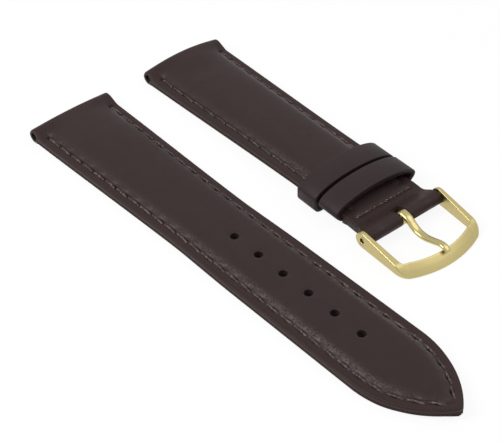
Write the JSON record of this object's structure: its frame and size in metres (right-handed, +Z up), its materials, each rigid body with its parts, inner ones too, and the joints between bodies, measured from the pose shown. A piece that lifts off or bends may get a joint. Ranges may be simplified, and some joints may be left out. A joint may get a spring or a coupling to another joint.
{
  "type": "watch strap",
  "caption": "Two-piece padded leather watch strap with stitched edges, a gilt pin buckle, a fixed keeper and a sliding keeper.",
  "frame": {"origin": "on the surface that the strap lies on, under the middle of the box round both pieces", "axes": "+X along the short piece from its lug end to its buckle, +Y across the strap from the long piece to the short one, +Z up"},
  "size_m": [0.1154, 0.0514, 0.0065],
  "materials": {
    "upper_leather": "satin",
    "padding": "matte",
    "lining_leather": "matte",
    "thread": "waxed",
    "seam_thread": "waxed",
    "keeper_leather": "satin",
    "keeper_lining": "matte",
    "gilt_metal": "satin gilt",
    "spring_bar_steel": "satin"
  },
  "bodies": {
    "strap": {"long_upper": "upper_leather", "long_filler": "padding", "long_lining": "lining_leather", "long_needle_thread": "thread", "long_bobbin_thread": "thread", "short_upper": "upper_leather", "short_filler": "padding", "short_lining": "lining_leather", "short_needle_thread": "thread", "short_bobbin_thread": "thread", "cross_seam_thread": "seam_thread", "fixed_keeper_outer": "keeper_leather", "fixed_keeper_lining": "keeper_lining", "spring_bar_tube": "spring_bar_steel", "spring_bar_spring": "spring_bar_steel"},
    "free_keeper": {"free_keeper_outer": "keeper_leather", "free_keeper_lining": "keeper_lining"},
    "pin_left": {"spring_bar_pin_left": "spring_bar_steel"},
    "pin_right": {"spring_bar_pin_right": "spring_bar_steel"},
    "buckle_frame": {"buckle_frame": "gilt_metal"},
    "buckle_tongue": {"buckle_tongue": "gilt_metal"}
  },
  "joints": [
    {"name": "free_keeper_slide", "type": "slide", "parent": "strap", "child": "free_keeper", "axis": [-0.9997, 0, -0.0252], "range_m": [0, 0.024]},
    {"name": "pin_left_slide", "type": "slide", "parent": "strap", "child": "pin_left", "axis": [0, 1, 0], "range_m": [0, 0.0012], "stiffness_N_per_m": 1500, "springref_m": -0.001, "deforming": ["spring_bar_spring"]},
    {"name": "pin_right_slide", "type": "slide", "parent": "strap", "child": "pin_right", "axis": [0, -1, 0], "range_m": [0, 0.0012], "stiffness_N_per_m": 1500, "springref_m": -0.001, "deforming": ["spring_bar_spring"]},
    {"name": "buckle_hinge", "type": "hinge", "parent": "strap", "child": "buckle_frame", "pos_m": [0.01544, 0.01507, 0.0026], "axis": [0, -1, 0], "range_deg": [-60, 75]},
    {"name": "tongue_hinge", "type": "hinge", "parent": "buckle_frame", "child": "buckle_tongue", "pos_m": [0.01544, 0.01507, 0.0026], "axis": [0, -1, 0], "range_deg": [0, 75]}
  ]
}
